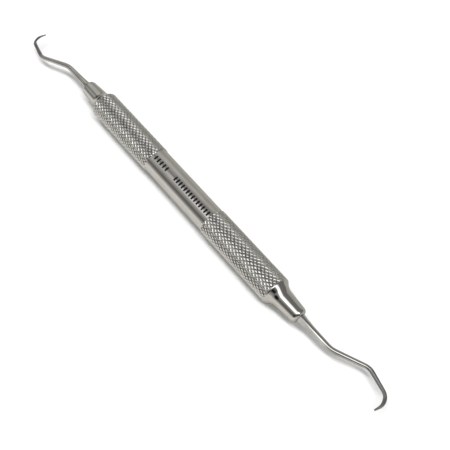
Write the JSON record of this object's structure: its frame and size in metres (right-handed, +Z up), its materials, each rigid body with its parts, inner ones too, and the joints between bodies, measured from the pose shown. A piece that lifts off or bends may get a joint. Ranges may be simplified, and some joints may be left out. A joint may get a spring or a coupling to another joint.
{
  "type": "hand scaler",
  "caption": "Double-ended dental hand scaler: hollow handle with knurled grips, end cones, bent tapering shanks and curved half-round blades at both ends.",
  "frame": {"origin": "on the surface that the scaler lies on, under the middle of the handle", "axes": "+X along the handle towards end A, +Y to the side that end A's shank bends to, +Z up"},
  "size_m": [0.174, 0.0112, 0.0095],
  "materials": {
    "grip_steel": "bright stainless steel, diamond knurled, polished waist",
    "cone_steel": "mirror-polished stainless steel",
    "instrument_steel": "fine-polished hardened stainless steel, satin at the blade"
  },
  "bodies": {
    "root": {"handle_tube": "grip_steel", "end_cone_a": "cone_steel", "end_cone_b": "cone_steel", "working_end_a": "instrument_steel", "working_end_b": "instrument_steel"}
  },
  "joints": []
}
